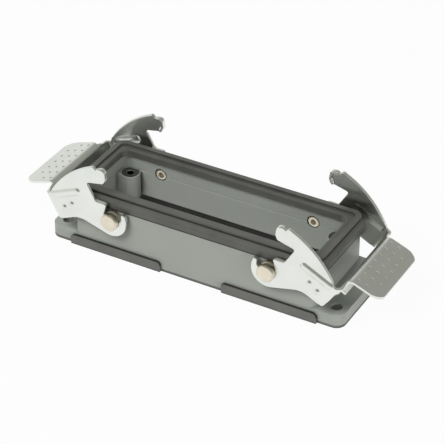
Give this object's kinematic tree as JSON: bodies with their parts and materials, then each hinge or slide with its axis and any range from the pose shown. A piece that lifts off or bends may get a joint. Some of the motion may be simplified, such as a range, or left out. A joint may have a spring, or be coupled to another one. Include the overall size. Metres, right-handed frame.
{
  "type": "heavy duty rectangular connector housing",
  "caption": "Bulkhead base housing of a heavy duty rectangular connector, with rim and panel gaskets and locking levers on pivot pins.",
  "frame": {"origin": "middle of the panel gasket's underside, on the panel face", "axes": "+X along the long side, +Y across it, +Z out of the panel towards the mating hood"},
  "size_m": [0.1758, 0.0556, 0.0455],
  "materials": {
    "housing_paint": "smooth satin grey powder coat on a die casting",
    "gasket_rubber": "matt moulded dark grey rubber",
    "pin_steel": "turned and peened steel",
    "lever_steel": "pressed and plated sheet steel"
  },
  "bodies": {
    "base": {"housing": "housing_paint", "rim_gasket": "gasket_rubber", "panel_gasket": "gasket_rubber", "pin_left_front": "pin_steel", "pin_left_rear": "pin_steel", "pin_right_front": "pin_steel", "pin_right_rear": "pin_steel"},
    "left_lever": {"lever_left": "lever_steel"},
    "right_lever": {"lever_right": "lever_steel"}
  },
  "joints": [
    {"name": "left_lever_swing", "type": "hinge", "parent": "base", "child": "left_lever", "pos_m": [-0.0383, 0, 0.0204], "axis": [0, 1, 0], "range_deg": [-18, 75]},
    {"name": "right_lever_swing", "type": "hinge", "parent": "base", "child": "right_lever", "pos_m": [0.0383, 0, 0.0204], "axis": [0, -1, 0], "range_deg": [-14.5, 75]}
  ]
}
